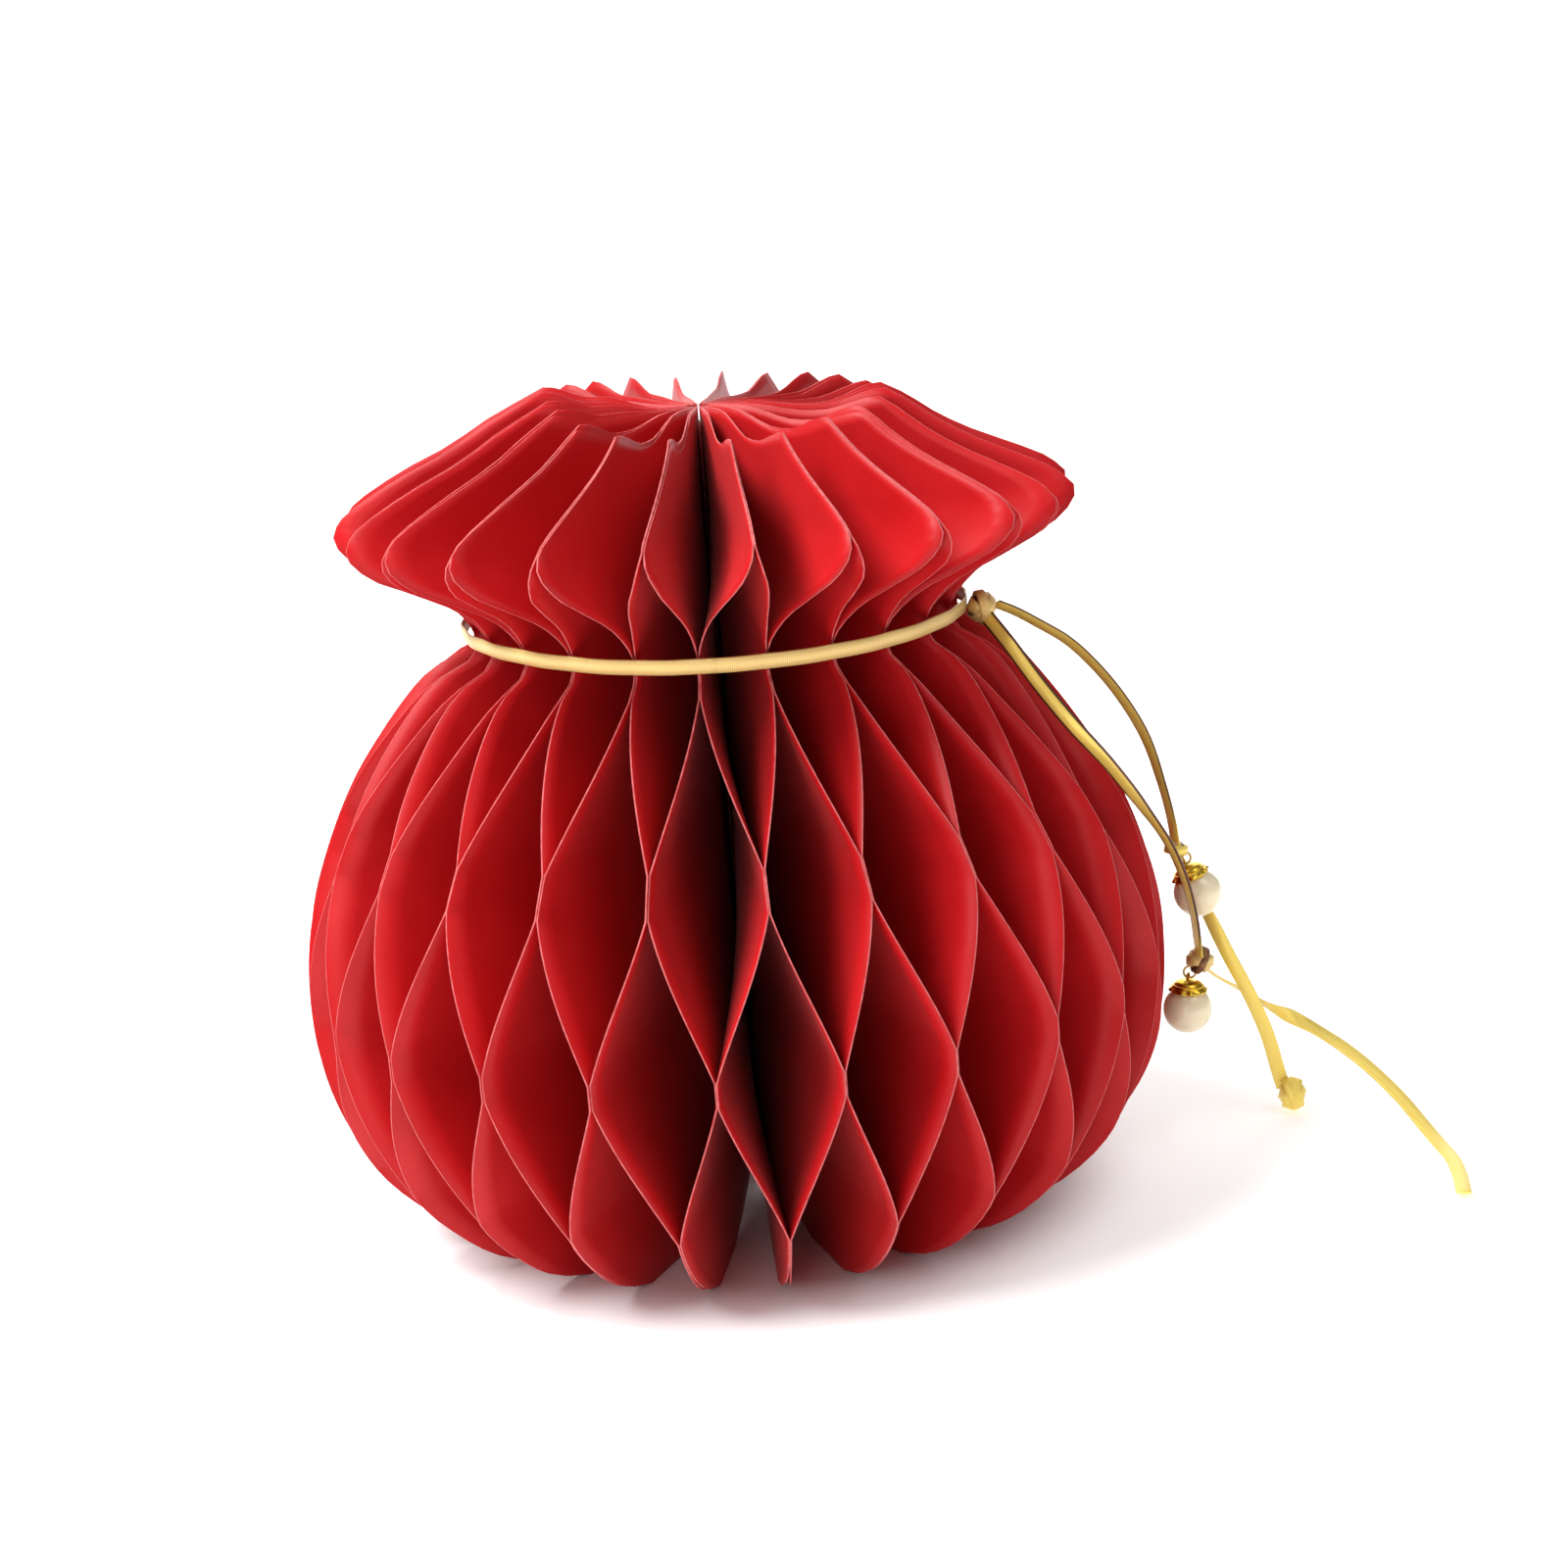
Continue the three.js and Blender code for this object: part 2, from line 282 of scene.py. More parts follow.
def cap_material():
    """Stamped brass-gold, tarnished in its creases."""
    material, tree, shader = new_material("gold_cap", (0.72, 0.42, 0.05), 0.28, Metallic=1)
    where = place(tree)
    mottle(tree, shader, where, [(0.62, 0.36, 0.03), (0.88, 0.60, 0.07)], 420, 4)
    add_bump(tree, shader, noise_height(tree, where, 1500), 0.25, 0.0001)
    return material


def pearl_material():
    """Cream imitation pearl with a faint cloudy lustre."""
    material, tree, shader = new_material("pearl", (0.88, 0.76, 0.52), 0.22)
    shader.inputs["Coat Weight"].default_value = 0.6
    shader.inputs["Coat Roughness"].default_value = 0.12
    shader.inputs["Subsurface Weight"].default_value = 0.15
    shader.inputs["Subsurface Radius"].default_value = (0.002, 0.0015, 0.001)
    where = place(tree)
    mottle(tree, shader, where, [(0.84, 0.70, 0.44), (0.93, 0.83, 0.60)], 160, 3)
    add_bump(tree, shader, noise_height(tree, where, 700), 0.12, 0.00005)
    return material


def thread_material():
    """Red binding thread, wound close."""
    material, tree, shader = new_material("binding_thread", (0.20, 0.010, 0.012), 0.8)
    turns = add_node(
        tree, "ShaderNodeTexWave", wave_type="BANDS", bands_direction="Z", Scale=350, Distortion=0.6
    )
    tree.links.new(place(tree), turns.inputs["Vector"])
    mottle(tree, shader, place(tree), [(0.15, 0.006, 0.008), (0.26, 0.014, 0.016)], 900)
    add_bump(tree, shader, turns.outputs["Fac"], 0.6, 0.0002)
    return material


PAPER = paper_material()
CUT_EDGE = cut_edge_material()
LOOP_GOLD = [(0.66, 0.43, 0.13), (0.84, 0.62, 0.24)]
# TAIL_GOLD is the same ribbon's gold as LOOP_GOLD painted brighter and yellower: painted light on the
# tails, which the key light doesn't reach.
TAIL_GOLD = [(0.88, 0.62, 0.09), (1.0, 0.80, 0.20)]
RIBBON = gold_ribbon_material("gold_ribbon", LOOP_GOLD, 1.2, -20)
TAIL_A_RIBBON = gold_ribbon_material("gold_ribbon_a", TAIL_GOLD, 1.05, 60)
TAIL_B_RIBBON = gold_ribbon_material("gold_ribbon_b", TAIL_GOLD, 0.85, 90)
TIP_RIBBON = gold_ribbon_material("gold_ribbon_tip", TAIL_GOLD, 1.3, -20)
FOLD = dark_fold_material()
CAP = cap_material()
PEARL = pearl_material()
THREAD = thread_material()

# ---------------------------------------------------------------- ribbon

RIBBON_WIDTH = 3.0
RIBBON_THICKNESS = 0.55


def ribbon_mesh(name, points, widths, width_of, material, closed=False):
    """A flat ribbon along points. widths gives the direction across it at each point, and
    width_of its width and thickness at a share of its length. Its UV map is in millimetres."""
    section = [
        (-0.5, 0), (-0.42, -0.42), (0, -0.5), (0.42, -0.42),
        (0.5, 0), (0.42, 0.42), (0, 0.5), (-0.42, 0.42),
    ]
    sides = len(section)
    vertices, faces, uvs, run = [], [], [], 0.0
    for number, point in enumerate(points):
        before = points[number - 1] if number or closed else points[0]
        after = points[(number + 1) % len(points)] if number + 1 < len(points) or closed else point
        along = (after - before).normalized()
        across = (widths[number] - along * widths[number].dot(along)).normalized()
        face = along.cross(across)
        if number:
            run += (point - points[number - 1]).length
        width, thickness = width_of(number / (len(points) - 1))
        for x, y in section:
            vertices.append(point + across * (x * width) + face * (y * thickness))
            uvs.append((run, x * width))
    rings = len(points)
    for ring in range(rings if closed else rings - 1):
        for side in range(sides):
            a, b = ring * sides + side, ring * sides + (side + 1) % sides
            c, d = ((ring + 1) % rings) * sides + side, ((ring + 1) % rings) * sides + (side + 1) % sides
            faces.append((a, b, d, c))
    if not closed:
        faces.append(tuple(reversed(range(sides))))
        faces.append(tuple((rings - 1) * sides + side for side in range(sides)))
    return add_mesh(name, vertices, faces, [material], uvs=uvs)


def full_width(share):
    return RIBBON_WIDTH, RIBBON_THICKNESS


def twist_widths(points, keys):
    """Directions across a ribbon, blended along it between the given (share, direction)."""
    out = []
    for number in range(len(points)):
        share = number / (len(points) - 1)
        previous, following = keys[0], keys[-1]
        for first, second in zip(keys, keys[1:]):
            if first[0] <= share <= second[0]:
                previous, following = first, second
                break
        span = max(1e-6, following[0] - previous[0])
        t = smoothstep((share - previous[0]) / span)
        out.append(Vector(previous[1]).lerp(Vector(following[1]), t))
    return out


# Tail a runs down past its pearl to an end knot, and tail b crosses in front and lies on the floor.
TAIL_A_ROUTE = [
    (54.6, -6.2, 118.4), (58.6, -4.5, 116.2), (63.4, -2.5, 112.9), (68.4, -0.5, 109.2),
    (72.9, 1, 104.6), (78.6, 2.4, 97), (83.8, 4, 87.3), (87, 5.2, 76.6), (88.8, 6.4, 68.4),
    (89.7, 7.9, 62.4), (91.2, 12.4, 57.8), (94, 15.3, 52.2), (97.3, 15.2, 44.6),
    (100.2, 14.6, 37.7), (104.6, 14.9, 28), (108.4, 17.2, 18.2), (110.8, 19.3, 9.2),
    (111.9, 19.9, 5.2),
]
TAIL_B_ROUTE = [
    (52.3, -9.9, 116.8), (56, -18, 111.9), (60.3, -22, 105.3), (66, -25.6, 97.5),
    (72.9, -22.9, 88.6), (79.8, -17.7, 78.2), (85, -12.5, 69.4), (88.3, -9, 61.2),
    (90.8, -4, 51.6), (92.2, 1.2, 43.6), (93, 4, 39.6), (96.1, 10, 34.9), (104, 19.2, 27.5),
    (109.2, 21, 23.4), (118.8, 19, 17.9), (126.3, 12.6, 13), (132.6, 4.4, 7.2),
    (136.4, -3.4, 2.5), (137.6, -10, 1.3), (138, -18, 1.3), (137.2, -27, 1.3),
    (135.6, -36.6, 1.3),
]

tail_a_points = spline(TAIL_A_ROUTE, 0.8)
tail_b_points = spline(TAIL_B_ROUTE, 0.8)

tail_a = ribbon_mesh(
    "gold_ribbon_tail_a",
    tail_a_points,
    twist_widths(
        tail_a_points,
        [(0, (0.35, -0.8, 0.6)), (0.16, (0.4, -0.8, 0.6)), (0.3, (0.6, -0.8, 0.4)),
         (0.45, (0.5, -1, 0.1)), (0.6, (0.6, -0.8, 0)), (0.75, (1, -0.3, 0.2)),
         (1, (1, -0.2, 0.3))],
    ),
    full_width,
    TAIL_A_RIBBON,
)
tail_b = ribbon_mesh(
    "gold_ribbon_tail_b",
    tail_b_points,
    twist_widths(
        tail_b_points,
        [(0, (1, -0.3, 0.8)), (0.12, (1, -0.2, 0.9)), (0.22, (0.8, -0.7, 0.6)),
         (0.3, (0.45, -1, 0.3)), (0.45, (0.3, -1, 0.1)), (0.52, (0.2, -1, 0.1)),
         (0.6, (0.1, -1, 0.35)), (0.7, (0.25, 0.9, 0.6)), (0.9, (1, 0.3, 0.1)), (1, (1, 0, 0))],
    ),
    full_width,
    TAIL_B_RIBBON,
)

LOOP_RADIUS, LOOP_HEIGHT = 49.15, 118.8
loop_points, loop_widths = [], []
for number in range(288):
    angle = 2 * math.pi * number / 288
    sag = 0.9 + 1.4 * math.sin(-angle) - 0.7 * math.cos(angle) + 0.15 * math.sin(5 * angle)
    sag += 1.3 * max(0.0, math.cos(angle - math.radians(62))) ** 6
    radius = LOOP_RADIUS + 0.12 * math.sin(24 * angle)
    loop_points.append(
        Vector((radius * math.sin(angle), -radius * math.cos(angle), LOOP_HEIGHT + sag))
    )
    loop_widths.append(Vector((0.12 * math.sin(angle), -0.12 * math.cos(angle), 1)))
loop = ribbon_mesh("gold_ribbon_loop", loop_points, loop_widths, full_width, RIBBON, closed=True)

# ---------------------------------------------------------------- knots


def wrap(name, centre, radii, normal, lift, width, material, start=0.0, turn=2 * math.pi):
    """A ribbon wound round an ellipsoid in the plane with that normal, raised from it by lift."""
    normal = Vector(normal).normalized()
    first = normal.orthogonal().normalized()
    second = normal.cross(first)
    closed = turn > 2 * math.pi - 0.01
    count = 48
    points = []
    for number in range(count if closed else count + 1):
        angle = start + turn * number / count
        direction = first * math.cos(angle) + second * math.sin(angle)
        reach = 1 / math.sqrt(sum((direction[i] / radii[i]) ** 2 for i in range(3)))
        points.append(Vector(centre) + direction * (reach + lift))
    widths = [normal.copy() for _ in points]
    return ribbon_mesh(
        name, points, widths, lambda share: (width, RIBBON_THICKNESS), material, closed=closed
    )


def lump(name, centre, radii, material, roughness=0.0, seed=0, segments=32):
    """An ellipsoid, dented with noise."""
    mesh = bpy.data.meshes.new(name)
    shape = bmesh.new()
    bmesh.ops.create_uvsphere(shape, u_segments=segments, v_segments=segments // 2, radius=1)
    for vertex in shape.verts:
        direction = vertex.co.copy()
        swell = 1 + roughness * noise.noise(direction * 2.2 + Vector((seed, seed, 0)))
        vertex.co = Vector(
            [(centre[i] + direction[i] * radii[i] * swell) * MM for i in range(3)]
        )
    for face in shape.faces:
        face.smooth = True
    shape.to_mesh(mesh)
    shape.free()
    mesh.materials.append(material)
    obj = bpy.data.objects.new(name, mesh)
    scene.collection.objects.link(obj)
    return obj


def join(name, parts):
    """Joins mesh objects into one piece with that name."""
    for other in bpy.context.selected_objects:
        other.select_set(False)
    for part in parts:
        part.select_set(True)
    bpy.context.view_layer.objects.active = parts[0]
    bpy.ops.object.join()
    parts[0].name = name
    parts[0].data.name = name
    return parts[0]


def knot(name, centre, radii, wraps, seed):
    """A small overhand knot: a core with ribbon turns round it."""
    parts = [lump(name + "_core", centre, [r * 0.72 for r in radii], FOLD, 0.2, seed)]
    for number, (normal, lift, width, material) in enumerate(wraps):
        shrunk = [r * 0.80 for r in radii]
        parts.append(
            wrap(f"{name}_turn_{number}", centre, shrunk, normal, lift, width, material)
        )
    return join(name, parts)


neck_knot = knot(
    "ribbon_knot_neck",
    (51.6, -8.2, 118.3),
    (3, 3.2, 3.3),
    [
        ((1, 0.15, 0.1), 0.5, 2.0, RIBBON),
        ((0.5, -0.2, 1), 0.05, 2.6, RIBBON),
        ((0.75, 0.3, -0.8), 0.3, 2.0, RIBBON),
        ((-0.9, -0.5, 0.15), 0.15, 1.4, RIBBON),
    ],
    1,
)
tail_knot_a = knot(
    "ribbon_knot_tail_a",
    (89.6, 7.9, 62.4),
    (2.5, 2.5, 2.3),
    [((0.2, 0.1, 1), 0.2, 2.0, TAIL_A_RIBBON), ((1, 0.2, 0.3), 0.0, 1.8, RIBBON)],
    2,
)
tail_knot_b = knot(
    "ribbon_knot_tail_b",
    (92.9, 4, 39.7),
    (3, 2.7, 2.7),
    [((0.9, 0.1, -0.5), 0.45, 1.5, FOLD), ((0.1, 0.2, 1), 0.2, 2.2, RIBBON),
     ((0.6, 0, 0.8), 0.1, 2.0, RIBBON), ((1, 0.2, 0.5), 0.25, 1.6, RIBBON)],
    3,
)
end_knot = knot(
    "ribbon_knot_end_a",
    (113.5, 18.8, 4.1),
    (2.9, 2.7, 4.3),
    [((0.3, 0.2, 1), 0.1, 2.8, TIP_RIBBON), ((0.9, 0.1, 0.3), 0.1, 2.8, TIP_RIBBON),
     ((-0.5, 0.2, 0.8), 0.1, 2.6, TIP_RIBBON), ((-0.9, 0.3, 0.3), 0.0, 2.6, TIP_RIBBON)],
    4,
)

# ---------------------------------------------------------------- pearls and caps

PEARL_RADIUS = 5.0
EYE_REACH = 6.55
PEARLS = {
    "a": {"centre": Vector((93.5, 7, 53.2)), "lean": math.radians(-20)},
    "b": {"centre": Vector((89.9, 4, 29.6)), "lean": math.radians(4)},
}


CAP_PROFILE = [
    (3.62, 3.78), (3.90, 3.92), (3.75, 4.30), (3.22, 4.78), (2.90, 5.22), (2.45, 5.72),
    (1.60, 6.06), (0.40, 6.18),
]


def cap_mesh(name, centre, lean):
    """A stamped bell over the pearl's crown, crimped round its skirt, with an eye on top."""
    around, crimps = 96, 12
    turn = Matrix.Rotation(lean, 3, "Y")
    outside = [Vector((r, 0, z)) for r, z in CAP_PROFILE]
    rows = spline(outside, 0.22)
    low, high = rows[0].z, rows[-1].z
    vertices, faces = [], []
    for inset in (0.0, 0.22):
        for row in rows:
            share = (row.z - low) / (high - low)
            for column in range(around):
                azimuth = 2 * math.pi * column / around
                crimp = 0.20 * max(0.0, 1 - share / 0.45) * math.cos(crimps * azimuth)
                radius = max(0.1, row.x + crimp - inset)
                height = row.z + 0.5 * crimp - 0.6 * inset
                local = (radius * math.cos(azimuth), radius * math.sin(azimuth), height)
                vertices.append(turn @ Vector(local) + centre)
    inner = len(rows) * around
    for row in range(len(rows) - 1):
        for column in range(around):
            a, b = row * around + column, row * around + (column + 1) % around
            faces.append((a, b, b + around, a + around))
            faces.append((inner + a, inner + a + around, inner + b + around, inner + b))
    top = (len(rows) - 1) * around
    for column in range(around):
        a, b = column, (column + 1) % around
        faces.append((a, inner + a, inner + b, b))
        faces.append((top + a, top + b, inner + top + b, inner + top + a))
    shell = add_mesh(name, vertices, faces, [CAP])
    eye = torus(name + "_eye", Vector((0, 0, EYE_REACH)), "X", 0.95, 0.28, CAP)
    collar = torus(name + "_collar", Vector((0, 0, 5.00)), "Z", 3.02, 0.22, CAP)
    for part in (eye, collar):
        part.data.transform(Matrix.Translation(centre * MM) @ turn.to_4x4())
    return join(name, [shell, eye, collar])


def torus(name, centre, axis, radius, wire, material):
    around, sides = 40, 12
    vertices, faces = [], []
    for step in range(around):
        a = 2 * math.pi * step / around
        for side in range(sides):
            b = 2 * math.pi * side / sides
            x, y, z = (
                (radius + wire * math.cos(b)) * math.cos(a),
                (radius + wire * math.cos(b)) * math.sin(a),
                wire * math.sin(b),
            )
            local = {"Z": (x, y, z), "X": (z, x, y), "Y": (x, z, y)}[axis]
            vertices.append(Vector(local) + centre)
            following = ((step + 1) % around) * sides
            faces.append(
                (
                    step * sides + side,
                    following + side,
                    following + (side + 1) % sides,
                    step * sides + (side + 1) % sides,
                )
            )
    return add_mesh(name, vertices, faces, [material])


pearls, caps = {}, {}
for letter, facts in PEARLS.items():
    pearls[letter] = lump(
        f"pearl_bead_{letter}", facts["centre"], [PEARL_RADIUS - 0.02] * 3, PEARL, segments=64
    )
    caps[letter] = cap_mesh(f"pearl_gold_cap_{letter}", facts["centre"], facts["lean"])

# The thread bights that carry the caps' eyes.
bights = {}
for letter, side in (("a", 1), ("b", 1)):
    facts = PEARLS[letter]
    reach = Vector((0.3 * side, 0, EYE_REACH + 1.25))
    middle = facts["centre"] + Matrix.Rotation(facts["lean"], 3, "Y") @ reach
    bights[letter] = torus(f"thread_bight_{letter}", middle, "Y", 1.25, 0.26, RIBBON)

# ---------------------------------------------------------------- paper leaves

LEAVES = 48
PITCH = 2 * math.pi / LEAVES
FIRST_BEARING = math.radians(-4.1)
SHEET = 0.28
INNER_RADIUS = 2.3
CROWN_BASE = 147.0  # the last level row; above it each leaf has its own crown
CROWN_MIDDLE = 160.6
COLUMNS = 12
CROWN_ROWS = 7

# Glue strips, from the floor up: the span of heights, and the side of the leaf that is glued.
STRIPS = [(0, 19.4, -1), (47.6, 52.2, 1), (80.0, 87.0, -1), (113.5, 120.5, 1), (143.5, 175, -1)]

# The die-cut outline as (radius, height), with the fuller left side and the flatter right one.
FRONT_OUTLINE = [
    (50, 0), (58.5, 2.6), (68, 8.2), (77.6, 18.3), (83.5, 33.3), (85.6, 49.3), (84.6, 63.3),
    (79.5, 77.3), (70, 92.3), (60, 104.3), (52, 112.3), (47.6, 117), (47.6, 120.6),
    (54, 126.8), (63, 131.8), (70.3, 136.3), (72.6, 140.6), (70, 144), (64, 147),
    (57, 150), (50.5, 153), (45, 156), (40, 159.5), (33, 166.2),
]
LEFT_OUTLINE = [
    (54, 0), (62, 3), (69.4, 9), (77.8, 18.3), (84.8, 33.3), (86.9, 49.3), (85.6, 63.3),
    (81.2, 77.3), (74, 92.3), (65, 104.3), (57, 112.3), (48.2, 117), (47.6, 120.6),
    (51.5, 126.8), (60, 131.8), (69, 136.3), (72.4, 140.6), (70.8, 144.5), (65, 148.5),
    (57.5, 152.5), (49, 156.3), (42, 160.5), (30, 166.2),
]
RIGHT_OUTLINE = [
    (45, 0), (57, 3), (67, 9), (76, 18.3), (82.8, 33.3), (84.6, 49.3), (83, 63.3),
    (78.8, 77.3), (70.6, 92.3), (62.4, 104.3), (55.8, 112.3), (48.2, 117), (47.6, 120.6),
    (52.5, 126.8), (61.5, 131.8), (69, 136.3), (71.4, 140.6), (67.6, 144.5), (60.5, 148),
    (52, 152), (45.5, 156), (41, 159.5), (34, 163.5),
]
UNDERSIDE = [(0, 31), (2.2, 22), (6.5, 11), (9.5, 5), (10.6, INNER_RADIUS)]  # (height, radius)
FRILL_TWIST = [(121, 0.0), (129, 0.9), (137, 2.0), (145, 2.3), (158, 3.6)]  # (height, degrees)


def by_height(outline):
    """A smooth outline as (height, radius), ready to interpolate."""
    rows = []
    for point in spline([(r, 0, z) for r, z in outline], 0.5):
        if not rows or point.z > rows[-1][0]:
            rows.append((point.z, point.x))
    return rows


OUTLINES = [by_height(outline) for outline in (FRONT_OUTLINE, LEFT_OUTLINE, RIGHT_OUTLINE)]

shuffle = random.Random(48)
plane_drift = [[math.radians(shuffle.gauss(0, 0.3)) for _ in range(LEAVES)] for _ in STRIPS]


def outline_radius(height, bearing):
    front, left, right = (interpolate(table, height) for table in OUTLINES)
    leftness = max(0.0, -math.sin(bearing)) ** 1.5
    rightness = max(0.0, math.sin(bearing)) ** 1.5
    return front + (left - front) * leftness + (right - front) * rightness


def crown_corner(bearing):
    """The top corner of the leaf at a bearing, as (radius, height)."""
    front, back = max(0.0, math.cos(bearing)), max(0.0, -math.cos(bearing))
    left, right = max(0.0, -math.sin(bearing)), max(0.0, math.sin(bearing))
    shares = [front**2, back**2, left**2, right**2]
    corners = [(41, 158.2), (37, 162.8), (30, 165.6), (36, 161.5)]
    return [sum(w * c[axis] for w, c in zip(shares, corners)) for axis in (0, 1)]


def lean_at(height):
    """The lean towards the glued side at a height, the strips below and above, and the share."""
    for number, (low, high, side) in enumerate(STRIPS):
        if height <= high:
            if height >= low:
                return side, number, number, 0.0
            _, top, below = STRIPS[number - 1]
            t = (height - top) / (low - top)
            curl = 0.55 if number == len(STRIPS) - 1 else 0.16
            eased = (1 - curl) * t + curl * smoothstep(t)
            return below + (side - below) * eased, number - 1, number, eased


def leaf_rows():
    rows = [0, 0.8, 2, 3.5, 5.5, 8, 11, 14, 17]
    for (_, high, _), (low, _, _) in zip(STRIPS, STRIPS[1:]):
        rows += [high + (low - high) * n / 11 for n in range(12)]
    rows += [50, 82, 85, 116, 118.2, 145, CROWN_BASE]
    return sorted(rows)


def leaf(index):
    middle = FIRST_BEARING + (index + 0.5) * PITCH
    hand = 1 if index % 2 == 0 else -1
    own = random.Random(1000 + index)
    swell = own.uniform(-0.35, 0.35)
    corner_radius, corner_height = crown_corner(middle)
    corner_height += own.uniform(-0.6, 0.6)
    dip = own.uniform(2.0, 3.2)

    def point(radius, height, face):
        lean, low, high, share = lean_at(height)
        lean *= hand
        drift = 0.0
        for strip, weight in ((low, 1 - share), (high, share)):
            glued_plane = (index + (0 if hand * STRIPS[strip][2] > 0 else 1)) % LEAVES
            drift += weight * plane_drift[strip][glued_plane]
        twist = math.radians(interpolate(FRILL_TWIST, height))
        bearing = middle - lean * PITCH / 2 + drift + twist
        thickness = SHEET * (0.55 + 0.45 * min(1, radius / 30))
        apart = 0.04
        if height < 14:
            apart += 1.5 * (1 - height / 14) ** 2 * smoothstep((radius - 20) / 40)
        aside = lean * (thickness + apart) / 2 + face * thickness / 2
        return (
            radius * math.sin(bearing) + aside * math.cos(bearing),
            -radius * math.cos(bearing) + aside * math.sin(bearing),
            height,
        )

    def crown_edge(radius):
        """Height of the top edge: a corner, a shallow groove and a raised middle."""
        share = radius / corner_radius
        groove = corner_height - dip
        if share > 0.68:
            return groove + dip * smoothstep((share - 0.68) / 0.3)
        return groove + (CROWN_MIDDLE - groove) * smoothstep((0.62 - share) / 0.36)

    spread = [(c / COLUMNS) ** 0.9 for c in range(COLUMNS + 1)]
    grid = []
    for height in leaf_rows():
        inner = interpolate(UNDERSIDE, height)
        outer = outline_radius(height, middle) + swell * smoothstep(height / 20)
        grid.append([(inner + (outer - inner) * s, height) for s in spread])
    natural = CROWN_BASE
    while outline_radius(natural, middle) > corner_radius and natural < 170:
        natural += 0.1
    for row in range(1, CROWN_ROWS + 1):
        share = row / CROWN_ROWS
        outer = outline_radius(CROWN_BASE + (natural - CROWN_BASE) * share, middle)
        outer += swell * (1 - share)
        radii = [INNER_RADIUS + (outer - INNER_RADIUS) * s for s in spread]
        grid.append(
            [
                (r, CROWN_BASE + (crown_edge(r * corner_radius / outer) - CROWN_BASE) * share)
                for r in radii
            ]
        )

    vertices = [point(r, z, face) for face in (-1, 1) for row in grid for r, z in row]
    width, count = COLUMNS + 1, len(grid)
    back = count * width
    faces, indices = [], []
    for row in range(count - 1):
        for column in range(COLUMNS):
            a = row * width + column
            faces.append((a, a + 1, a + 1 + width, a + width))
            faces.append((back + a, back + a + width, back + a + 1 + width, back + a + 1))
            indices += [0, 0]
        a, b = row * width, row * width + COLUMNS
        faces.append((b, back + b, back + b + width, b + width))
        faces.append((a, a + width, back + a + width, back + a))
        indices += [1, 1]
    top = (count - 1) * width
    for column in range(COLUMNS):
        a, b = column, top + column
        faces.append((a, back + a, back + a + 1, a + 1))
        faces.append((b, b + 1, back + b + 1, back + b))
        indices += [1, 1]
    return add_mesh(f"paper_leaf_{index + 1:02d}", vertices, faces, [PAPER, CUT_EDGE], indices)


leaves = [leaf(index) for index in range(LEAVES)]

core = lump("spine_thread_core", (0, 0, 84.8), (1.9, 1.9, 73.2), THREAD, segments=24)

# ---------------------------------------------------------------- bodies

for index, piece in enumerate(leaves):
    node = f"leaf_{index + 1:02d}"
    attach(piece, "spine" if index == 0 else node)
    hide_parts(node)
    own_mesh(piece)

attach(core, "spine")
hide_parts("spine_binding")

for piece, nodes in (
    (loop, ["ribbon_loop"]),
    (tail_a, ["ribbon_tail_a"]),
    (tail_b, ["ribbon_tail_b"]),
    (neck_knot, ["ribbon_knot"]),
    (tail_knot_a, ["tail_knot_a"]),
    (tail_knot_b, ["tail_knot_b"]),
    (end_knot, ["end_knot_a"]),
    (bights["a"], []),
    (bights["b"], []),
):
    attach(piece, "spine")
    if nodes:
        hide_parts(*nodes)

for letter in PEARLS:
    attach(pearls[letter], f"pearl_{letter}")
    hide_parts(f"pearl_{letter}")
    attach(caps[letter], f"pearl_{letter}")
    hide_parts(f"pearl_cap_{letter}")

# ---------------------------------------------------------------- floor and light


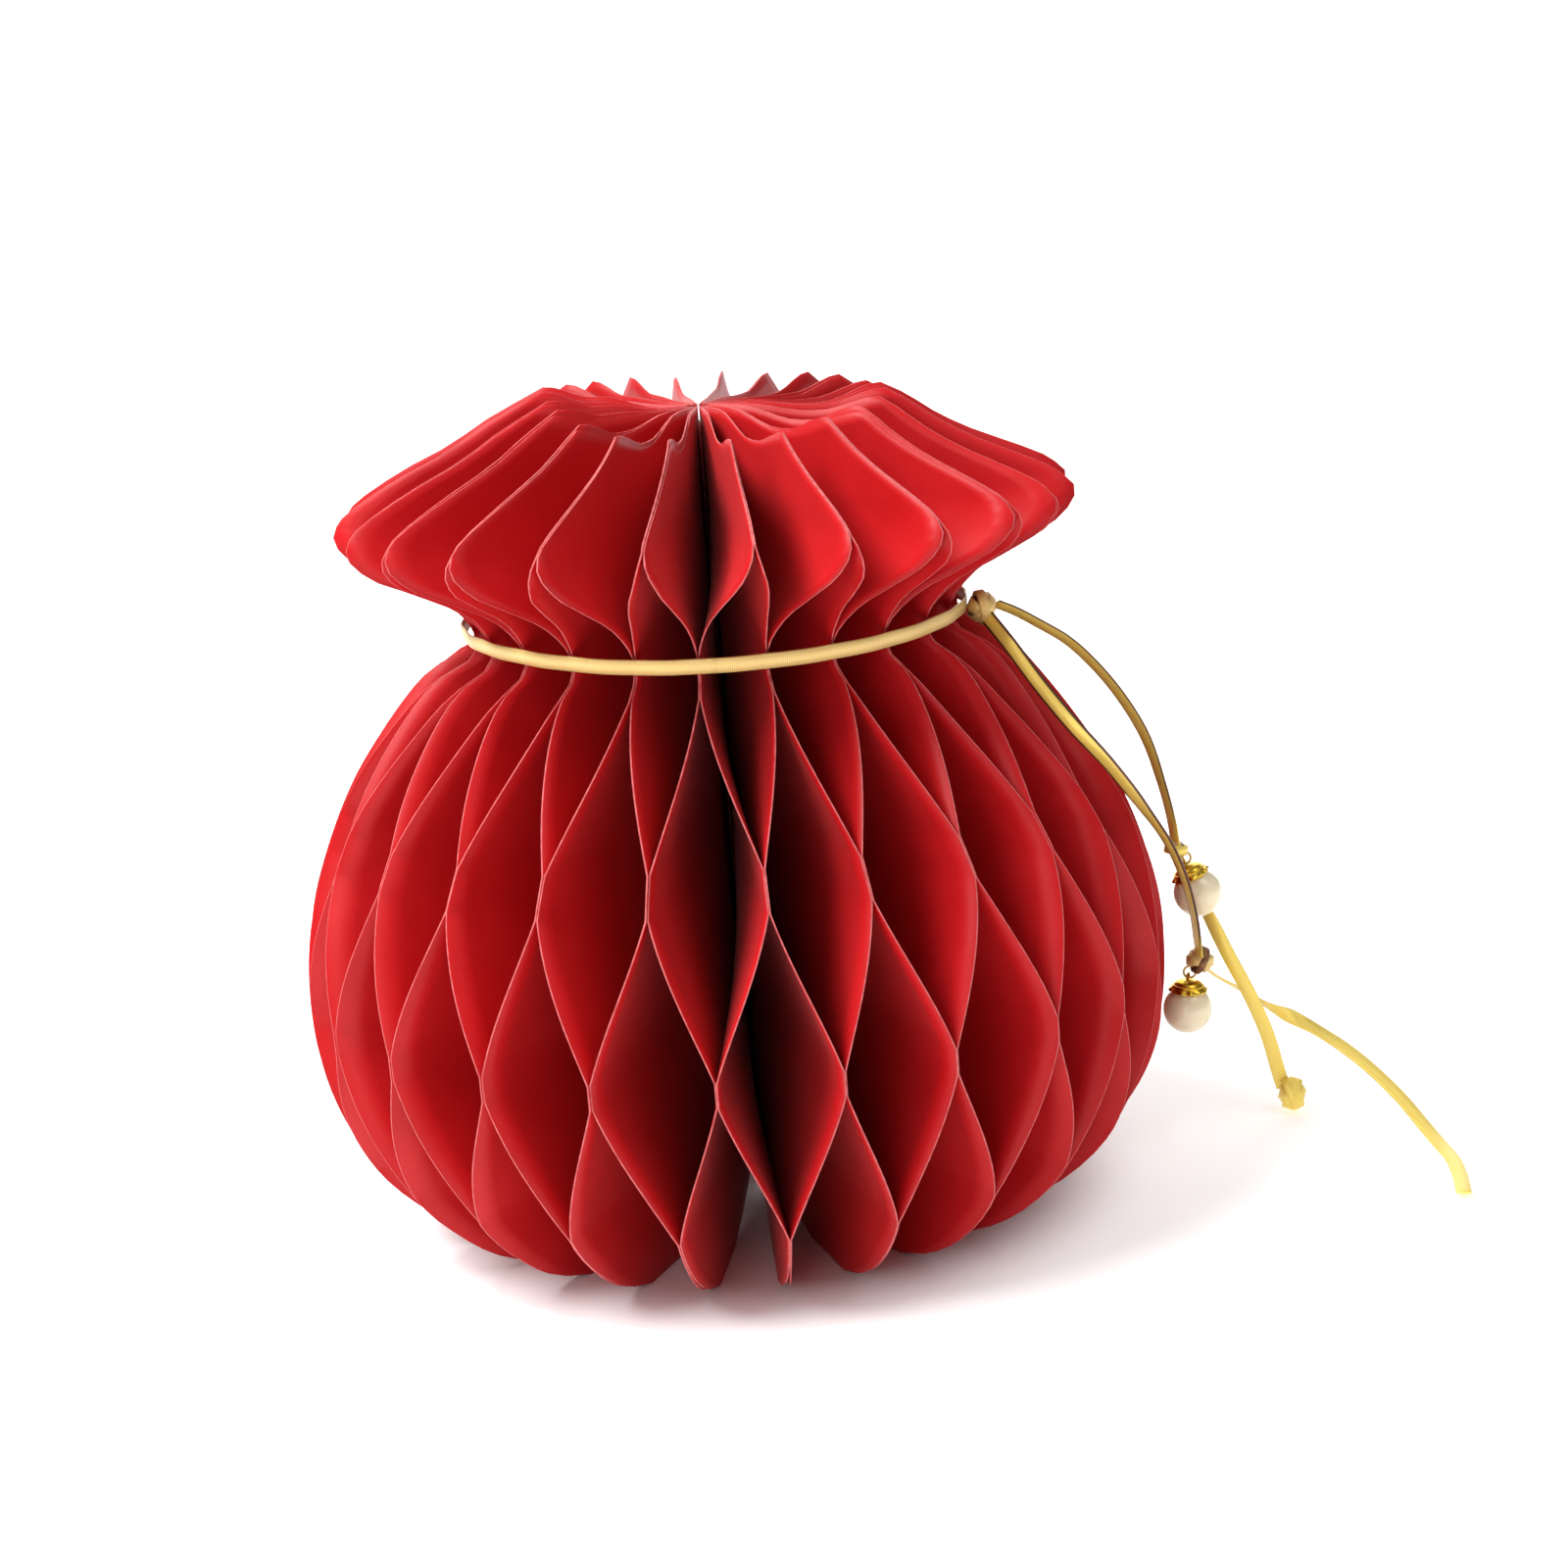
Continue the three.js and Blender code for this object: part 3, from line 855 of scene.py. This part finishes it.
def stage_plane(name, size, location, tilt, glow, painted_shadow_radius=0.0):
    """A pale plane that isn't part of the object, which glows a little as a lit studio sweep does,
    but not within the given radius of its middle, under the object, where the missing glow is a painted
    shadow."""
    bpy.ops.mesh.primitive_plane_add(size=size, location=location, rotation=(tilt, 0, 0))
    plane = bpy.context.object
    plane.name = name
    material, tree, shader = new_material(name, (0.93, 0.93, 0.93), 0.85)
    shader.inputs["Specular IOR Level"].default_value = 0.1
    shader.inputs["Emission Color"].default_value = (1, 1, 1, 1)
    shader.inputs["Emission Strength"].default_value = glow
    # Painted shadow: the glow fades out under the object.
    if painted_shadow_radius:
        reach = add_node(tree, "ShaderNodeVectorMath", operation="LENGTH")
        tree.links.new(place(tree), reach.inputs[0])
        rise = add_node(tree, "ShaderNodeMapRange", interpolation_type="SMOOTHSTEP")
        rise.inputs["From Min"].default_value = painted_shadow_radius
        rise.inputs["From Max"].default_value = 1.6 * painted_shadow_radius
        rise.inputs["To Max"].default_value = glow
        tree.links.new(reach.outputs["Value"], rise.inputs["Value"])
        tree.links.new(rise.outputs["Result"], shader.inputs["Emission Strength"])
    plane.data.materials.append(material)


def area_light(name, place_at, aim, size, power, colour=(1, 1, 1)):
    data = bpy.data.lights.new(name, "AREA")
    data.shape = "DISK"
    data.size = size
    data.energy = power
    data.color = colour
    light = bpy.data.objects.new(name, data)
    scene.collection.objects.link(light)
    light.location = place_at
    light.rotation_euler = (Vector(aim) - Vector(place_at)).to_track_quat("-Z", "Y").to_euler()
    return light


stage_plane("floor", 9, (0, 0, 0), 0, 0.42, painted_shadow_radius=50 * MM)
stage_plane("backdrop", 3, (0.1, 1.9, 1.2), math.pi / 2, 1.0)
area_light("key", (-0.76, -0.53, 1.27), (0, 0, 0.1), 0.7, 18)
area_light("left_high", (-0.78, 0.14, 1.36), (0, 0, 0.14), 0.5, 18)
area_light("front", (-0.54, -1.34, 0.48), (0, 0, 0.09), 0.9, 5)
area_light("right", (0.7, -0.5, 1.32), (0, 0, 0.1), 0.9, 4.5)

world = bpy.data.worlds.new("world")
scene.world = world
world.use_nodes = True
background = world.node_tree.nodes["Background"]
background.inputs["Color"].default_value = (1, 1, 1, 1)
background.inputs["Strength"].default_value = 0.2

scene.view_settings.view_transform = "Standard"
